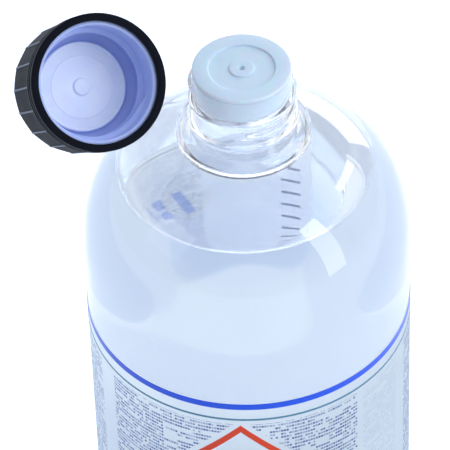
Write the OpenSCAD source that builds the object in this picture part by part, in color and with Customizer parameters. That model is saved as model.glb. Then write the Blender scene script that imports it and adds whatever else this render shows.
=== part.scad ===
// One-litre bottle of isopropyl alcohol, with its push-and-turn cap taken off.
// The origin is the centre of the foot, +Z is up and -Y is the side that faces the viewer.
// All sizes are in millimetres.

/* [Body] */
// Height from the foot to the rim of the neck
bottle_h = 223; // [215:1:240]
// Outer diameter of the straight body
body_d = 84.7; // [80:0.1:90]
// Wall of the blown body
body_wall = 0.6; // [0.4:0.1:1.2]
// Height of the rounded shoulder above the straight body
shoulder_h = 40; // [36:1:44]
// Height at which the shoulder starts
shoulder_z = 163; // [155:1:166]
// Roundness of the shoulder, where 2 is an ellipse
shoulder_power = 2.4; // [2.1:0.1:2.8]
// Radius of the heel round the foot
heel_r = 7; // [4:0.5:10]
// Depth of the hollow under the foot
push_up = 6; // [2:0.5:9]
// Level of the liquid above the foot
liquid_z = 189.7; // [150:0.1:192]

/* [Neck] */
// Outer diameter of the neck below its thread
neck_d = 25; // [24.6:0.1:25.2]
// Diameter of the neck's bore
bore_d = 21.8; // [20:0.1:22.4]
// Outer diameter of the neck's thread
thread_d = 27.5; // [27.1:0.1:27.7]
// Pitch of the thread
thread_pitch = 4.2; // [4:0.1:4.6]
// Turns of thread on the neck
thread_turns = 1.85; // [1.4:0.05:1.9]
// Width of the thread at its root
thread_root_w = 2.3; // [2:0.1:2.5]
// Width of the thread at its crest
thread_crest_w = 0.8; // [0.5:0.1:1.1]
// Distance from the rim down to the middle of the thread's upper end
thread_start = 3.7; // [3.4:0.1:4]
// Distance from the rim down to the bead under the thread
bead_drop = 14.9; // [14.6:0.1:16]
// Outer diameter of the bead under the thread
bead_d = 28.1; // [27:0.1:29]
// Distance from the rim down to the upper face of the ring at the foot of the neck
ring_drop = 19.4; // [19:0.1:20]
// Outer diameter of the ring at the foot of the neck
ring_d = 34.4; // [32:0.1:35]
// Thickness of the ring at the foot of the neck
ring_h = 2.2; // [1.8:0.1:2.4]
// Radius of the hollow curve between neck and shoulder
neck_fillet = 4.5; // [3:0.5:5.5]

/* [Pour insert] */
// Thickness of the insert's flange on the rim
flange_t = 1; // [0.8:0.1:1.2]
// Length of the insert's skirt in the bore
skirt_h = 7.7; // [5:0.1:9]
// Wall of the insert's skirt
skirt_wall = 1; // [0.7:0.1:1.4]
// Diameter of the dished middle
dish_d = 16.8; // [14:0.1:17.4]
// Depth of the dished middle
dish_depth = 0.6; // [0.6:0.1:1.5]
// Thickness of the floor of the dish
dish_floor = 1; // [0.8:0.1:1.5]
// Diameter of the raised spout in the dish
spout_d = 6.4; // [4:0.1:8]
// Diameter of the pouring hole
orifice_d = 1.2; // [0.8:0.1:2]

/* [Label] */
// Height of the label's upper edge above the foot
label_top = 146.3; // [120:0.1:150]
// Height of the label's lower edge above the foot
label_bottom = 24; // [15:1:60]
// Thickness of the label film
label_t = 0.1; // [0.08:0.01:0.2]
// Width of the clear strip between the label's two ends
view_strip_w = 10.8; // [6:0.1:16]
// Direction of the clear strip, counted from +X towards +Y
view_strip_a = 57; // [40:1:75]
// Thickness of the glue under the label
glue_t = 0.03; // [0.02:0.01:0.1]
// Thickness of the raised ink
ink_t = 0.07; // [0.04:0.01:0.1]
// Width of the blue line
blue_line_w = 2; // [1:0.1:3]
// Width of the teal line
teal_line_w = 0.6; // [0.4:0.1:1]
// Distance from the blue line's middle down to the teal line's middle
line_gap = 4.8; // [3:0.1:6]
// Distance from the teal line down to the tip of the red frame
frame_drop = 1.9; // [1.5:0.1:5]
// Direction of the red frame's tip, counted from +X towards +Y
frame_a = 265.7; // [250:0.1:290]
// Width of the red frame
frame_w = 34; // [20:1:50]
// Height of the red frame
frame_h = 58; // [44:1:80]
// Width of the red frame's stroke
frame_line_w = 1.75; // [1:0.05:3]
// Distance between two marks of the scale
tick_gap = 7.6; // [5:0.1:12]
// Number of marks on the scale
tick_count = 13; // [6:1:15]
// Length of one mark
tick_len = 5.4; // [3:0.1:7]
// Height of one mark
tick_w = 1.4; // [0.6:0.1:2]
// Distance from the label's end to the marks
tick_inset = 3.7; // [2:0.1:6]

/* [Cap] */
// Outer diameter of the outer shell at its rim
shell_d = 34; // [33.4:0.1:36]
// Outer diameter of the outer shell at its closed end
shell_top_d = 32.8; // [32.8:0.1:34]
// Height of the outer shell
shell_h = 21; // [18.8:0.1:22]
// Thickness of the outer shell's closed end
shell_top_t = 1.2; // [1:0.1:1.5]
// Height of the smooth band at the rim
band_h = 4.5; // [3:0.1:6]
// Number of grip ribs
rib_count = 18; // [12:1:24]
// Width of a grip rib
rib_w = 0.5; // [0.4:0.1:1.2]
// Height of a grip rib
rib_h = 0.15; // [0.1:0.05:0.6]
// Inner diameter of the bead that holds the inner cap in
catch_d = 30.2; // [29.9:0.1:30.4]
// Height of the bead that holds the inner cap in
catch_h = 1.4; // [0.9:0.1:1.5]
// Wall of the inner cap round its thread
inner_wall = 1.3; // [1.2:0.05:1.4]
// Thickness of the inner cap's top
inner_top_t = 1.1; // [0.9:0.1:1.3]
// Diameter of the gate mark in the middle of the inner cap
nub_d = 4.2; // [2:0.1:6]
// Number of driving lugs on each cap
lug_count = 8; // [4:4:12]
// Height of the driving lugs
lug_h = 1.2; // [0.8:0.1:1.2]
// Width of a driving lug
lug_w = 1.6; // [1:0.1:2]
// Travel of the outer shell when it is pressed down
press_travel = 1.2; // [1:0.1:1.2]

/* [Fits] */
// Radial gap between the two thread crests and the walls that they face
thread_clear = 0.35; // [0.25:0.05:0.4]
// Gap between the outer shell and the inner cap
cap_clear = 0.3; // [0.25:0.05:0.4]
// Gap between the liquid and the wall round it
liquid_clear = 0.05; // [0.02:0.01:0.1]
// Radial gap between the insert's skirt and the bore
skirt_clear = 0.03; // [0.01:0.01:0.05]

/* [Cap as held] */
// Distance of the cap's rim to the right of the neck's axis
cap_x = -34.7; // [-60:0.1:-34]
// Distance of the cap's rim behind the neck's axis
cap_y = -20.6; // [-40:0.1:0]
// Height of the middle of the cap's rim above the foot
cap_z = 239.5; // [236:0.1:260]
// Angle by which the open side faces upwards
cap_elevation = 43.6; // [30:0.1:60]
// Angle by which the open side faces to the right
cap_azimuth = 24.6; // [0:0.1:40]
// Turn of the cap about its own axis
cap_spin = -5; // [-20:1:20]

/* [Hidden] */
$fn = 96;
over = 0.1;                     // overlap that keeps a cut clear of the face it cuts
body_r = body_d / 2;
neck_r = neck_d / 2;
bore_r = bore_d / 2;
rim_z = bottle_h;
rim_edge = 0.4;                 // rounding of the rim's outer edge
throat_r = neck_r + 0.4;        // neck radius under the bead
bead_h = 1.4;                   // height of the bead
bead_z = rim_z - bead_drop;
ring_r = ring_d / 2;
ring_z = rim_z - ring_drop;
foot_r = body_r - heel_r;
push_r = foot_r - 4;            // radius of the hollow under the foot
push_steps = 8;
shoulder_steps = 28;
arc_steps = 10;
thread_steps = 36;              // sections in one turn of thread
thread_sink = 0.2;              // depth by which a thread's root is sunk into its wall
thread_fade = 30;               // turn over which a thread rises to full height
thread_start_a = 205;           // direction of the upper end of the neck's thread
blue_line_z = label_top - 0.3 - blue_line_w / 2;
teal_line_z = blue_line_z - line_gap;
label_in_r = body_r + glue_t;
label_r = label_in_r + label_t;
strip_half_a = asin(view_strip_w / 2 / body_r);
label_a = 360 - 2 * strip_half_a;
label_start_a = view_strip_a + strip_half_a;
frame_tip_z = teal_line_z - teal_line_w / 2 - frame_drop;
tick_start_a = label_start_a + tick_inset / label_r * 180 / PI;
tick_a = tick_len / label_r * 180 / PI;
tick_top_z = label_bottom + 6 + tick_gap * (tick_count - 1);
inner_r = thread_d / 2 + thread_clear;         // inside of the inner cap's wall
inner_outer_r = inner_r + inner_wall;
inner_crest_r = neck_r + thread_clear;         // crest of the inner cap's thread
inner_rim_z = catch_h + cap_clear;
shell_in_r = inner_outer_r + cap_clear;
shell_ceiling_z = shell_h - shell_top_t;
inner_top_z = shell_ceiling_z - lug_h - press_travel - cap_clear;
inner_ceiling_z = inner_top_z - inner_top_t;
lug_in_r = 6;                   // inner end of the lugs
lug_out_r = inner_outer_r - 1.5;
seal_r = neck_r - 1.2;          // ring that seals on the insert's flange
seal_h = 0.4;
nub_h = 0.3;

// Points of an arc round [x, y], from angle a to angle b
function arc(x, y, r, a, b, n = arc_steps) =
    [for (i = [0 : n]) let (t = a + (b - a) * i / n) [x + r * cos(t), y + r * sin(t)]];

// A point of the shoulder and its outward direction, for a shoulder of radius r and height h
function dome(r, h, t) = [r * pow(cos(t), 2 / shoulder_power),
    shoulder_z + h * pow(sin(t), 2 / shoulder_power)];
function dome_out(r, h, t) = let (q = 2 / shoulder_power - 1,
    v = [h * pow(sin(t), q) * cos(t), r * pow(cos(t), q) * sin(t)]) v / norm(v);

// Place on the shoulder where a hollow curve of radius f meets the neck of radius n, by halving
function meet(r, h, n, f, low = 30, high = 89.9, k = 24) = let (t = (low + high) / 2,
    gap = dome(r, h, t)[0] + f * dome_out(r, h, t)[0] - n - f)
    k == 0 ? t : gap > 0 ? meet(r, h, n, f, t, high, k - 1) : meet(r, h, n, f, low, t, k - 1);

// Shoulder and hollow curve up to the neck, for a wall face of body radius r and neck radius n
function shoulder_line(r, h, n, f) = let (t = meet(r, h, n, f), out = dome_out(r, h, t),
    c = dome(r, h, t) + f * out, a = atan2(-out[1], -out[0]))
    concat([for (i = [0 : shoulder_steps]) dome(r, h, t * i / shoulder_steps)],
        arc(c[0], c[1], f, a + 360, 180));

// Section of the space inside the bottle, up to height top
function inside_line(gap) = let (w = body_wall + gap, f = neck_fillet + throat_r - bore_r)
    concat(foot_line(w),
        shoulder_line(body_r - w, shoulder_h - w, bore_r - gap, f));

// Section of the foot, for a wall face that lies w inside the outer face
function foot_line(w) = concat([for (i = [0 : push_steps]) let (part = i / push_steps)
    [(push_r - w) * part, w + push_up * (1 - part * part)]],
    arc(foot_r, heel_r, heel_r - w, 270, 360));

// Ridge that winds round the Z axis; root and crest are radii, z is its middle at angle a
module helix_ridge(root, crest, z, a, turns, pitch) {
    n = ceil(turns * thread_steps);
    span = 360 * turns;
    sections = [for (i = [0 : n]) let (
        t = span * i / n,
        rise = min(1, t / thread_fade, (span - t) / thread_fade),
        low_crest = root + (crest - root) * 0.12,
        r = low_crest + (crest - low_crest) * rise,
        h = z - pitch * t / 360,
        d = a - t)
        for (p = [[root, thread_root_w / 2], [root, -thread_root_w / 2],
            [r, -thread_crest_w / 2], [r, thread_crest_w / 2]])
        [p[0] * cos(d), p[0] * sin(d), h + p[1]]];
    sides = [for (i = [0 : n - 1], j = [0 : 3]) let (
        p = 4 * i + j, q = 4 * i + (j + 1) % 4)
        each [[p, q, q + 4], [p, q + 4, p + 4]]];
    ends = [[0, 2, 1], [0, 3, 2], [4 * n, 4 * n + 1, 4 * n + 2], [4 * n, 4 * n + 2, 4 * n + 3]];
    faces = concat(sides, ends);
    polyhedron(sections, [for (f = faces) crest < root ? f : [f[2], f[1], f[0]]]);
}

// Part of a ring between two radii and two heights, from angle a over angle da
module ring_part(r_in, r_out, z_low, z_high, a, da) {
    rotate([0, 0, a])
        rotate_extrude(angle = da)
            translate([r_in, z_low])
                square([r_out - r_in, z_high - z_low]);
}

// Clear blown PET bottle with a threaded neck
module bottle() {
    color([0.80, 0.89, 0.96, 0.35])
        difference() {
            union() {
                rotate_extrude()
                    polygon(concat(foot_line(0),
                        shoulder_line(body_r, shoulder_h, throat_r, neck_fillet),
                        [[throat_r, bead_z - bead_h / 2], [bead_d / 2 - 0.3, bead_z - bead_h / 2],
                            [bead_d / 2, bead_z - 0.2], [bead_d / 2, bead_z + 0.2],
                            [bead_d / 2 - 0.3, bead_z + bead_h / 2], [neck_r, bead_z + bead_h / 2]],
                        arc(neck_r - rim_edge, rim_z - rim_edge, rim_edge, 0, 90, 4),
                        [[0, rim_z]]));
                rotate_extrude()
                    polygon([[neck_r, ring_z - ring_h], [ring_r - 0.5, ring_z - ring_h],
                        [ring_r, ring_z - ring_h + 0.5], [ring_r, ring_z - 0.4],
                        [ring_r - 0.4, ring_z], [neck_r, ring_z]]);
                helix_ridge(neck_r - thread_sink, thread_d / 2, rim_z - thread_start,
                    thread_start_a, thread_turns, thread_pitch);
            }
            rotate_extrude()
                polygon(concat(inside_line(0), [[bore_r, rim_z + over], [0, rim_z + over]]));
        }
}

// Natural polyethylene insert pressed into the neck, with a small pouring hole
module pour_insert() {
    top = rim_z + flange_t;
    skirt_r = bore_r - skirt_clear;
    color([0.79, 0.87, 0.94])
        rotate_extrude()
            polygon([[orifice_d / 2, top - dish_depth - dish_floor],
                [skirt_r - skirt_wall, top - dish_depth - dish_floor],
                [skirt_r - skirt_wall, rim_z - skirt_h],
                [skirt_r - 0.4, rim_z - skirt_h],
                [skirt_r, rim_z - skirt_h + 1.2],
                [skirt_r, rim_z], [neck_r - 0.1, rim_z], [neck_r, rim_z + 0.2],
                [neck_r, top - 0.3], [neck_r - 0.3, top],
                [dish_d / 2 + 0.3, top], [dish_d / 2, top - 0.3], [dish_d / 2, top - dish_depth],
                [spout_d / 2 + 0.3, top - dish_depth], [spout_d / 2, top - 0.5],
                [spout_d / 2 - 0.5, top - 0.1], [orifice_d / 2 + 0.3, top - 0.1],
                [orifice_d / 2, top - 0.4]]);
}

// One litre of clear liquid, level with the shoulder
module liquid() {
    color([0.85, 0.92, 0.97, 0.6])
        intersection() {
            rotate_extrude()
                polygon(concat(inside_line(liquid_clear), [[0, rim_z]]));
            cylinder(r = body_r, h = liquid_z);
        }
}

// White film label round the body, with a clear strip left between its ends
module label() {
    color([0.86, 0.91, 0.95])
        ring_part(label_in_r, label_r, label_bottom, label_top, label_start_a, label_a);
}

// Printed line that follows the label; z is its middle and w its width
module label_line(z, w) {
    ring_part(label_r, label_r + ink_t, z - w / 2, z + w / 2, label_start_a, label_a);
}

// Broad blue line near the label's upper edge
module label_blue_line() {
    color([0.16, 0.37, 0.88])
        label_line(blue_line_z, blue_line_w);
}

// Fine teal line under the blue one
module label_teal_line() {
    color([0.28, 0.51, 0.63])
        label_line(teal_line_z, teal_line_w);
}

// Outline of a long six-sided frame with its upper tip at the origin
module frame_outline(w, h) {
    polygon([[0, 0], [w / 2, -w / 2], [w / 2, w / 2 - h], [0, -h], [-w / 2, w / 2 - h],
        [-w / 2, -w / 2]]);
}

// Red printed frame on the front of the label
module label_red_frame() {
    inset = frame_line_w * sqrt(2);
    color([0.80, 0.24, 0.10])
        intersection() {
            difference() {
                cylinder(r = label_r + ink_t, h = label_top);
                translate([0, 0, -over])
                    cylinder(r = label_r, h = label_top + 2 * over);
            }
            translate([0, 0, frame_tip_z])
                rotate([90, 0, frame_a - 270])
                    linear_extrude(height = body_d)
                        difference() {
                            frame_outline(frame_w, frame_h);
                            translate([0, -inset])
                                frame_outline(frame_w - 2 * frame_line_w, frame_h - 2 * inset);
                        }
        }
}

// Printed scale marks beside the clear strip
module label_scale() {
    color([0.20, 0.33, 0.60])
        for (i = [0 : tick_count - 1])
            ring_part(label_r, label_r + ink_t, tick_top_z - i * tick_gap - tick_w / 2,
                tick_top_z - i * tick_gap + tick_w / 2, tick_start_a, tick_a);
}

// Puts a cap that is drawn upright, with its rim at the origin, where it is held open side up
module held_cap() {
    translate([cap_x, cap_y, cap_z])
        rotate([0, 0, cap_azimuth])
            rotate([-90 - cap_elevation, 0, 0])
                rotate([0, 0, cap_spin])
                    children();
}

// Ring of radial lugs; z is their lower end and a turns the whole ring
module lugs(z, a) {
    for (i = [0 : lug_count - 1])
        rotate([0, 0, a + 360 * i / lug_count])
            translate([lug_in_r, -lug_w / 2, z])
                cube([lug_out_r - lug_in_r, lug_w, lug_h]);
}

// Natural polypropylene inner cap that screws on the neck
module inner_cap() {
    color([0.76, 0.79, 0.95])
        held_cap()
            union() {
                difference() {
                    rotate_extrude()
                        polygon([[0, inner_rim_z], [inner_outer_r - 0.4, inner_rim_z],
                            [inner_outer_r, inner_rim_z + 0.4],
                            [inner_outer_r, inner_top_z - 1], [inner_outer_r - 1, inner_top_z],
                            [0, inner_top_z]]);
                    translate([0, 0, inner_rim_z - over])
                        cylinder(r = inner_r, h = inner_ceiling_z - inner_rim_z + over);
                }
                difference() {
                    translate([0, 0, inner_ceiling_z - seal_h])
                        cylinder(r = seal_r, h = seal_h + over);
                    translate([0, 0, inner_ceiling_z - seal_h - over])
                        cylinder(r = seal_r - 1, h = seal_h + 2 * over);
                }
                translate([0, 0, inner_ceiling_z - nub_h])
                    cylinder(d = nub_d, h = nub_h + over);
                helix_ridge(inner_r + thread_sink, inner_crest_r, inner_ceiling_z - 3,
                    thread_start_a, 1.5, thread_pitch);
                lugs(inner_top_z - over, 0);
            }
}

// Black polypropylene outer shell that turns freely until it is pressed down
module outer_shell() {
    r = shell_d / 2;
    top_r = shell_top_d / 2;
    flat_z = band_h + 0.3;
    color([0.13, 0.14, 0.18])
        held_cap()
            union() {
                rotate_extrude()
                    polygon([[catch_d / 2 + 0.3, 0], [r - 0.4, 0], [r, 0.4],
                        [r, 1.5], [r - 0.25, 1.65], [r - 0.25, 1.95], [r, 2.1],
                        [r, 3.1], [r - 0.25, 3.25], [r - 0.25, 3.55], [r, 3.7],
                        [r, band_h], [r - 0.3, flat_z], [top_r, shell_h - 1.5],
                        [top_r - 0.4, shell_h - 0.5], [top_r - 1.5, shell_h], [0, shell_h],
                        [0, shell_ceiling_z], [shell_in_r - 0.5, shell_ceiling_z],
                        [shell_in_r, shell_ceiling_z - 0.5],
                        [shell_in_r, catch_h + 0.2], [catch_d / 2, catch_h],
                        [catch_d / 2, 0.3]]);
                for (i = [0 : rib_count - 1])
                    rotate([0, 0, 360 * i / rib_count])
                        rotate([90, 0, 0])
                            translate([0, 0, -rib_w / 2])
                                linear_extrude(height = rib_w)
                                    polygon([[r - 0.8, band_h - over], [r, band_h - over],
                                        [r, band_h + over], [top_r + rib_h, shell_h - 2],
                                        [top_r - 0.4, shell_h - 1.2], [top_r - 0.8, shell_h - 1.2]]);
                lugs(shell_ceiling_z - lug_h, 180 / lug_count);
            }
}

bottle();
pour_insert();
liquid();
label();
label_blue_line();
label_teal_line();
label_red_frame();
label_scale();
inner_cap();
outer_shell();
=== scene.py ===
"""A one-litre bottle of isopropyl alcohol, with its push-and-turn cap taken off and held open."""
import math

import bmesh
import bpy
import numpy as np
from mathutils import Matrix, Quaternion, Vector


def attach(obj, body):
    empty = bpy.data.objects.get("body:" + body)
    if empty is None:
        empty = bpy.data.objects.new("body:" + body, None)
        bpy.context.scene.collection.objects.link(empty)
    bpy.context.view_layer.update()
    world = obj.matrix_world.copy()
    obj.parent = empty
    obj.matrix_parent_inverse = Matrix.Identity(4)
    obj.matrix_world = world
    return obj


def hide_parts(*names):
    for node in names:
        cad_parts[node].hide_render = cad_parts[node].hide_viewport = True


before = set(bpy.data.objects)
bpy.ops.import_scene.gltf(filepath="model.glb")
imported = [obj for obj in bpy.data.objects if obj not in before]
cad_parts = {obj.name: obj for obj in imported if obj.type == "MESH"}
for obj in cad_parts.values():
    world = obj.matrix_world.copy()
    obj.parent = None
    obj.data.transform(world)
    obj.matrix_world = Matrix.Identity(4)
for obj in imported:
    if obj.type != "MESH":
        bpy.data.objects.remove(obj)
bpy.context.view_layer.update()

# Bottle: a one-litre bottle stretch-blown from clear PET on a moulded neck. Its wall is one
# closed skin. The inner face touches the liquid up to the edge of its surface and air above it,
# and the outer face is glued to the label, so each meeting bends light in its own way.
MM = 0.001
BOTTLE_H = 223
BODY_R = 42.35
BODY_WALL = 0.6
SHOULDER_H = 40
SHOULDER_Z = 163
SHOULDER_POWER = 2.4
HEEL_R = 7
FOOT_R = BODY_R - HEEL_R
PUSH_R = FOOT_R - 4
PUSH_UP = 6
NECK_R = 12.5
BORE_R = 10.9
THROAT_R = 12.9
NECK_FILLET = 4.5
BEAD_R = 14.05
BEAD_H = 1.4
BEAD_Z = BOTTLE_H - 14.9
RING_R = 17.2
RING_Z = BOTTLE_H - 19.4
RING_H = 2.2
RIM_EDGE = 0.4
THREAD_H = 1.25
THREAD_PITCH = 4.2
THREAD_TURNS = 1.85
THREAD_ROOT_W = 2.3
THREAD_CREST_W = 0.8
THREAD_START = 3.7
THREAD_START_A = 205
THREAD_FADE = 30
LIQUID_Z = 189.7
MENISCUS_H = 1.3
MENISCUS_W = 1.4
LABEL_TOP = 146.3
LABEL_BOTTOM = 24
LABEL_START_A = 64.33
LABEL_A = 345.34
COLUMNS = 256


def linear(code):
    """An sRGB hex colour as the linear numbers that a shader takes."""
    parts = [int(code[i:i + 2], 16) / 255 for i in (1, 3, 5)]
    return [p / 12.92 if p <= 0.04045 else ((p + 0.055) / 1.055) ** 2.4 for p in parts] + [1]


def node(tree, kind, links=(), **settings):
    """Adds a node. links gives inputs, by name or number, a value or another node's output."""
    made = tree.nodes.new(kind)
    for key, value in settings.items():
        setattr(made, key, value)
    for key, value in dict(links).items():
        if isinstance(value, bpy.types.NodeSocket):
            tree.links.new(value, made.inputs[key])
        else:
            made.inputs[key].default_value = value
    return made


def material(name):
    """An empty material and its node tree."""
    made = bpy.data.materials.new(name)
    made.use_nodes = True
    made.node_tree.nodes.clear()
    return made, made.node_tree


def see_through(name, ior, colour, haze=0.0, ripple=0.0, ripple_size=14):
    """A clear surface. Rays from lamps and lit surfaces pass straight, so what is inside is lit."""
    made, tree = material(name)
    glass = node(tree, "ShaderNodeBsdfPrincipled", {
        "Base Color": colour, "Roughness": 0.0, "IOR": ior, "Transmission Weight": 1 - haze})
    if ripple:
        place = node(tree, "ShaderNodeTexCoord").outputs["Object"]
        wave = node(tree, "ShaderNodeTexNoise", {
            "Vector": place, "Scale": 1 / (ripple_size * MM), "Detail": 1})
        bump = node(tree, "ShaderNodeBump", {
            "Height": wave.outputs["Fac"], "Strength": 1, "Distance": ripple * MM})
        tree.links.new(bump.outputs["Normal"], glass.inputs["Normal"])
    straight = node(tree, "ShaderNodeBsdfTransparent", {
        "Color": [math.sqrt(c) for c in colour]})
    path = node(tree, "ShaderNodeLightPath")
    passing = node(tree, "ShaderNodeMath", {
        0: path.outputs["Is Shadow Ray"], 1: path.outputs["Is Diffuse Ray"]},
        operation="MAXIMUM")
    mixed = node(tree, "ShaderNodeMixShader", {
        0: passing.outputs[0], 1: glass.outputs[0], 2: straight.outputs[0]})
    node(tree, "ShaderNodeOutputMaterial", {"Surface": mixed.outputs[0]})
    return made


def arc(x, y, r, start, end, steps):
    """Points of an arc round (x, y), from one angle to another."""
    return [(x + r * math.cos(a), y + r * math.sin(a))
            for a in np.radians(np.linspace(start, end, steps + 1))]


def dome(r, h, t):
    """A point of the shoulder and the outward direction there."""
    p, c, s = 2 / SHOULDER_POWER, math.cos(t), math.sin(t)
    out = Vector((h * s ** (p - 1) * c, r * c ** (p - 1) * s)).normalized() if s > 0 else (1, 0)
    return (r * c ** p, SHOULDER_Z + h * s ** p), out


def shoulder_line(r, h, neck, fillet, steps):
    """The shoulder and the hollow curve that leads from it into the neck."""
    low, high = math.radians(30), math.radians(89.9)
    for _ in range(40):
        t = (low + high) / 2
        (x, z), out = dome(r, h, t)
        low, high = (t, high) if x + fillet * out[0] > neck + fillet else (low, t)
    centre = (x + fillet * out[0], z + fillet * out[1])
    turn = math.degrees(math.atan2(-out[1], -out[0])) + 360
    return ([dome(r, h, t * i / steps)[0] for i in range(steps + 1)]
            + arc(*centre, fillet, turn, 180, 14)[1:])


def foot_line(w):
    """The pushed-up foot and the heel, for a wall face that lies w inside the outer face."""
    r = PUSH_R - w
    hollow = [(r * i / 8, w + PUSH_UP * (1 - (i / 8) ** 2)) for i in range(9)]
    return hollow + arc(FOOT_R, HEEL_R, HEEL_R - w, 270, 360, 12)


def inside_line(gap, top):
    """The section of the space inside the bottle, from the middle of its foot up to top."""
    w = BODY_WALL + gap
    line = foot_line(w) + shoulder_line(
        BODY_R - w, SHOULDER_H - w, BORE_R - gap, NECK_FILLET + THROAT_R - BORE_R, 56)
    over = next((i for i, (_, z) in enumerate(line) if z > top), None)
    if over is None:
        return line + [(BORE_R - gap, top)]
    (r0, z0), (r1, z1) = line[over - 1], line[over]
    return line[:over] + [(r0 + (r1 - r0) * (top - z0) / (z1 - z0), top)]


def thread(heights, columns, middle, turns, height):
    """Height of a thread above its wall, for rows at these heights and for every column."""
    angle = np.arange(columns) * 360 / columns
    lift = np.zeros((len(heights), columns))
    for lap in range(3):
        t = (THREAD_START_A - angle) % 360 + 360 * lap
        off = np.abs(np.array(heights)[:, None] - (middle - THREAD_PITCH * t / 360))
        flank = np.clip((THREAD_ROOT_W / 2 - off) / ((THREAD_ROOT_W - THREAD_CREST_W) / 2), 0, 1)
        fade = np.clip(np.minimum(t, 360 * turns - t) / THREAD_FADE, 0, 1)
        smooth = flank * flank * (3 - 2 * flank) * fade * fade * (3 - 2 * fade)
        lift = np.maximum(lift, height * smooth)
    return lift


def turned(line, columns, lift=None):
    """Points, faces and each face's row, for a line turned round Z. lift moves points outwards."""
    rows, points, faces, row_of = [], [], [], []
    angle = np.arange(columns) * 2 * math.pi / columns
    for i, (r, z) in enumerate(line):
        rows.append(len(points))
        if r < 1e-6:
            points.append((0, 0, z))
            continue
        reach = r + (lift[i] if lift is not None else np.zeros(columns))
        points += list(zip(reach * np.cos(angle), reach * np.sin(angle), [z] * columns))
    last = len(line) if line[0][0] > 1e-6 else len(line) - 1
    for i in range(last):
        a, b = rows[i], rows[(i + 1) % len(line)]
        for j in range(columns):
            k = (j + 1) % columns
            if line[i][0] < 1e-6:
                faces.append((a, b + k, b + j))
            elif line[(i + 1) % len(line)][0] < 1e-6:
                faces.append((a + j, a + k, b))
            else:
                faces.append((a + j, a + k, b + k, b + j))
            row_of.append(i)
    return points, faces, row_of


def piece(name, body, points, faces, materials, pick=None, crease=None, place=None):
    """A closed mesh of points in millimetres, facing outwards, that rides on a CAD body."""
    mesh = bpy.data.meshes.new(name)
    mesh.from_pydata([tuple(c * MM for c in p) for p in points], [], faces)
    for m in materials:
        mesh.materials.append(m)
    if pick is not None:
        mesh.polygons.foreach_set("material_index", pick)
    mesh.polygons.foreach_set("use_smooth", [True] * len(faces))
    if place is not None:
        mesh.transform(place)
    form = bmesh.new()
    form.from_mesh(mesh)
    bmesh.ops.recalc_face_normals(form, faces=form.faces)
    form.to_mesh(mesh)
    form.free()
    if crease:
        mesh.set_sharp_from_angle(angle=math.radians(crease))
    made = bpy.data.objects.new(name, mesh)
    bpy.context.scene.collection.objects.link(made)
    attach(made, body)
    return made


# The outer face is followed up to the rim and the inner face down from it. The neck has a row
# every 0.16 mm, so that its thread and mould seam are real shapes.
SEAM_COLUMN = round((270 + 19.7) / 360 * COLUMNS)
SEAM_H = 0.06
PLUG_END_Z = BOTTLE_H - 7.1
neck_base = BEAD_Z + BEAD_H / 2 + 0.1
outside = foot_line(0)
outside += [(BODY_R, z) for z in np.linspace(HEEL_R, SHOULDER_Z, 9)[1:-1]]
slope = shoulder_line(BODY_R, SHOULDER_H, THROAT_R, NECK_FILLET, 56)
outside += [p for p in slope if p[1] < RING_Z - RING_H - 0.05]
outside += [(RING_R - 1.6, RING_Z - RING_H)]
outside += arc(RING_R - 0.5, RING_Z - RING_H + 0.5, 0.5, -90, 0, 6)
outside += arc(RING_R - 0.4, RING_Z - 0.4, 0.4, 0, 90, 6)
outside += [(15.5, RING_Z), (THROAT_R + 0.9, RING_Z), (THROAT_R + 0.5, RING_Z + 0.1)]
outside += [p for p in slope if p[1] > RING_Z + 0.3]
outside += [(THROAT_R, BEAD_Z - BEAD_H / 2 - 0.3), (THROAT_R + 0.12, BEAD_Z - BEAD_H / 2 - 0.05)]
outside += arc(BEAD_R - 0.45, BEAD_Z - BEAD_H / 2 + 0.45, 0.45, -90, 0, 5)
outside += arc(BEAD_R - 0.45, BEAD_Z + BEAD_H / 2 - 0.45, 0.45, 0, 90, 5)
outside += [(NECK_R + 0.15, BEAD_Z + BEAD_H / 2), (NECK_R, neck_base)]
thread_first = len(outside)
thread_rows = np.linspace(neck_base, BOTTLE_H - RIM_EDGE, 90)[1:-1]
outside += [(NECK_R, z) for z in thread_rows]
outside += arc(NECK_R - RIM_EDGE, BOTTLE_H - RIM_EDGE, RIM_EDGE, 0, 90, 5)
wet_top = LIQUID_Z + MENISCUS_H
below = inside_line(0, wet_top)
bore = [(BORE_R, z) for z in (PLUG_END_Z, PLUG_END_Z + 2.5, PLUG_END_Z + 5)]
above = inside_line(0, bore[0][1] - 0.8) + bore + [(BORE_R, BOTTLE_H)]
inside = [p for p in above if p[1] > wet_top][::-1] + below[::-1]
bottle_line = outside + inside
bottle_lift = np.zeros((len(bottle_line), COLUMNS))
bottle_lift[thread_first:thread_first + len(thread_rows)] = thread(
    thread_rows, COLUMNS, BOTTLE_H - THREAD_START, THREAD_TURNS, THREAD_H)
seam_rows = [i for i, p in enumerate(outside) if BEAD_Z - 6 < p[1] < BOTTLE_H - 1]
for seam in (SEAM_COLUMN, (SEAM_COLUMN + COLUMNS // 2) % COLUMNS):
    bottle_lift[seam_rows, seam] += SEAM_H

# Clear PET is slightly blue in thick sections and shines like glass, with no grain. A faint
# ripple is left by blowing, and its skin scatters a little light as haze. Behind the label and
# round the plug it is in full contact.
PET_IOR = 1.57
ALCOHOL_IOR = 1.377
PET_HAZE = 0.05
PET_RIPPLE = 0.006
pet_tint = linear("#FBFCFE")
pet_in_air = see_through("blown_clear_pet", PET_IOR, pet_tint, PET_HAZE, PET_RIPPLE)
pet_in_liquid = see_through("blown_clear_pet_wetted", PET_IOR / ALCOHOL_IOR, pet_tint)
glued_pet, glued_tree = material("blown_clear_pet_in_contact")
glue = node(glued_tree, "ShaderNodeBsdfTransparent", {"Color": linear("#FDFDFE")})
node(glued_tree, "ShaderNodeOutputMaterial", {"Surface": glue.outputs[0]})

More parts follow.
